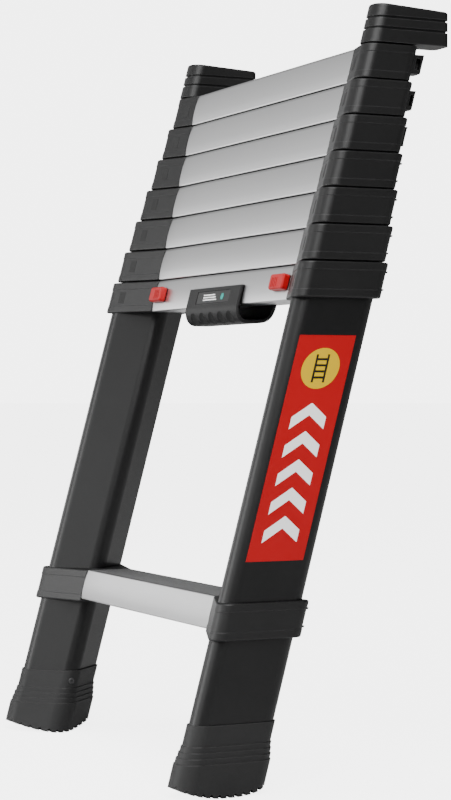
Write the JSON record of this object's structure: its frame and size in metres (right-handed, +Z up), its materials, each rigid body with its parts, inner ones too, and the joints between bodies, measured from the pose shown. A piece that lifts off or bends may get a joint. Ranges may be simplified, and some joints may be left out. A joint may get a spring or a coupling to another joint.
{
  "type": "telescoping ladder",
  "caption": "Leaning telescopic ladder, closed: nested black stile tubes with locking collars, aluminium rungs, red release buttons, carry handle, wall caps and rubber feet.",
  "frame": {"origin": "on the floor, in the middle of the plan of the leaning ladder, half way between the feet's toes and the caps' rear faces", "axes": "+Z up, +X to the climber's right along the rungs, +Y from the climber towards the wall; the stiles lean 15 degrees back from +Z towards +Y"},
  "size_m": [0.4422, 0.2698, 0.68],
  "materials": {
    "tube_paint": "satin black coating",
    "rung_aluminium": "satin anodised, drawn along its length",
    "collar_plastic": "fine matt moulded black",
    "cap_plastic": "fine matt moulded black",
    "handle_plastic": "fine matt moulded black",
    "foot_rubber": "matt black rubber",
    "button_plastic": "satin red",
    "bolt_steel": "turned",
    "fastener_steel": "bright zinc"
  },
  "bodies": {
    "base": {"rung_1": "rung_aluminium", "bottom_step": "rung_aluminium", "carry_handle": "handle_plastic", "foot_screws": "fastener_steel", "outer_tube_left": "tube_paint", "collar_left_1": "collar_plastic", "step_collar_left": "collar_plastic", "foot_left": "foot_rubber", "outer_tube_right": "tube_paint", "collar_right_1": "collar_plastic", "step_collar_right": "collar_plastic", "foot_right": "foot_rubber"},
    "release_left": {"release_button_left": "button_plastic"},
    "release_right": {"release_button_right": "button_plastic"},
    "section_2": {"rung_2": "rung_aluminium", "tube_left_2": "tube_paint", "collar_left_2": "collar_plastic", "tube_right_2": "tube_paint", "collar_right_2": "collar_plastic"},
    "lock_left_2": {"lock_bolt_left_2": "bolt_steel"},
    "lock_right_2": {"lock_bolt_right_2": "bolt_steel"},
    "section_3": {"rung_3": "rung_aluminium", "tube_left_3": "tube_paint", "collar_left_3": "collar_plastic", "tube_right_3": "tube_paint", "collar_right_3": "collar_plastic"},
    "lock_left_3": {"lock_bolt_left_3": "bolt_steel"},
    "lock_right_3": {"lock_bolt_right_3": "bolt_steel"},
    "section_4": {"rung_4": "rung_aluminium", "tube_left_4": "tube_paint", "collar_left_4": "collar_plastic", "tube_right_4": "tube_paint", "collar_right_4": "collar_plastic"},
    "lock_left_4": {"lock_bolt_left_4": "bolt_steel"},
    "lock_right_4": {"lock_bolt_right_4": "bolt_steel"},
    "section_5": {"rung_5": "rung_aluminium", "tube_left_5": "tube_paint", "collar_left_5": "collar_plastic", "tube_right_5": "tube_paint", "collar_right_5": "collar_plastic"},
    "lock_left_5": {"lock_bolt_left_5": "bolt_steel"},
    "lock_right_5": {"lock_bolt_right_5": "bolt_steel"},
    "section_6": {"rung_6": "rung_aluminium", "tube_left_6": "tube_paint", "collar_left_6": "collar_plastic", "tube_right_6": "tube_paint", "collar_right_6": "collar_plastic"},
    "lock_left_6": {"lock_bolt_left_6": "bolt_steel"},
    "lock_right_6": {"lock_bolt_right_6": "bolt_steel"},
    "section_7": {"rung_7": "rung_aluminium", "tube_left_7": "tube_paint", "collar_left_7": "collar_plastic", "tube_right_7": "tube_paint", "collar_right_7": "collar_plastic"},
    "lock_left_7": {"lock_bolt_left_7": "bolt_steel"},
    "lock_right_7": {"lock_bolt_right_7": "bolt_steel"},
    "top_left": {"top_tube_left": "tube_paint", "end_cap_left": "cap_plastic"},
    "top_right": {"top_tube_right": "tube_paint", "end_cap_right": "cap_plastic"}
  },
  "joints": [
    {"name": "extend_2", "type": "slide", "parent": "base", "child": "section_2", "axis": [0, 0.2588, 0.9659], "range_m": [0, 0.2668]},
    {"name": "extend_3", "type": "slide", "parent": "section_2", "child": "section_3", "axis": [0, 0.2588, 0.9659], "range_m": [0, 0.2668]},
    {"name": "extend_4", "type": "slide", "parent": "section_3", "child": "section_4", "axis": [0, 0.2588, 0.9659], "range_m": [0, 0.2668]},
    {"name": "extend_5", "type": "slide", "parent": "section_4", "child": "section_5", "axis": [0, 0.2588, 0.9659], "range_m": [0, 0.2668]},
    {"name": "extend_6", "type": "slide", "parent": "section_5", "child": "section_6", "axis": [0, 0.2588, 0.9659], "range_m": [0, 0.2668]},
    {"name": "extend_7", "type": "slide", "parent": "section_6", "child": "section_7", "axis": [0, 0.2588, 0.9659], "range_m": [0, 0.2668]},
    {"name": "extend_top_left", "type": "slide", "parent": "section_7", "child": "top_left", "axis": [0, 0.2588, 0.9659], "range_m": [0, 0.2668]},
    {"name": "extend_top_right", "type": "slide", "parent": "section_7", "child": "top_right", "axis": [0, 0.2588, 0.9659], "range_m": [0, 0.2668]},
    {"name": "press_release_left", "type": "slide", "parent": "base", "child": "release_left", "axis": [1, 0, 0], "range_m": [0, 0.005], "stiffness_N_per_m": 200, "springref_m": -0.01},
    {"name": "retract_left_2", "type": "slide", "parent": "section_2", "child": "lock_left_2", "axis": [1, 0, 0], "range_m": [0, 0.005], "stiffness_N_per_m": 200, "springref_m": -0.01},
    {"name": "retract_left_3", "type": "slide", "parent": "section_3", "child": "lock_left_3", "axis": [1, 0, 0], "range_m": [0, 0.005], "stiffness_N_per_m": 200, "springref_m": -0.01},
    {"name": "retract_left_4", "type": "slide", "parent": "section_4", "child": "lock_left_4", "axis": [1, 0, 0], "range_m": [0, 0.005], "stiffness_N_per_m": 200, "springref_m": -0.01},
    {"name": "retract_left_5", "type": "slide", "parent": "section_5", "child": "lock_left_5", "axis": [1, 0, 0], "range_m": [0, 0.005], "stiffness_N_per_m": 200, "springref_m": -0.01},
    {"name": "retract_left_6", "type": "slide", "parent": "section_6", "child": "lock_left_6", "axis": [1, 0, 0], "range_m": [0, 0.005], "stiffness_N_per_m": 200, "springref_m": -0.01},
    {"name": "retract_left_7", "type": "slide", "parent": "section_7", "child": "lock_left_7", "axis": [1, 0, 0], "range_m": [0, 0.005], "stiffness_N_per_m": 200, "springref_m": -0.01},
    {"name": "press_release_right", "type": "slide", "parent": "base", "child": "release_right", "axis": [-1, 0, 0], "range_m": [0, 0.005], "stiffness_N_per_m": 200, "springref_m": -0.01},
    {"name": "retract_right_2", "type": "slide", "parent": "section_2", "child": "lock_right_2", "axis": [-1, 0, 0], "range_m": [0, 0.005], "stiffness_N_per_m": 200, "springref_m": -0.01},
    {"name": "retract_right_3", "type": "slide", "parent": "section_3", "child": "lock_right_3", "axis": [-1, 0, 0], "range_m": [0, 0.005], "stiffness_N_per_m": 200, "springref_m": -0.01},
    {"name": "retract_right_4", "type": "slide", "parent": "section_4", "child": "lock_right_4", "axis": [-1, 0, 0], "range_m": [0, 0.005], "stiffness_N_per_m": 200, "springref_m": -0.01},
    {"name": "retract_right_5", "type": "slide", "parent": "section_5", "child": "lock_right_5", "axis": [-1, 0, 0], "range_m": [0, 0.005], "stiffness_N_per_m": 200, "springref_m": -0.01},
    {"name": "retract_right_6", "type": "slide", "parent": "section_6", "child": "lock_right_6", "axis": [-1, 0, 0], "range_m": [0, 0.005], "stiffness_N_per_m": 200, "springref_m": -0.01},
    {"name": "retract_right_7", "type": "slide", "parent": "section_7", "child": "lock_right_7", "axis": [-1, 0, 0], "range_m": [0, 0.005], "stiffness_N_per_m": 200, "springref_m": -0.01}
  ]
}
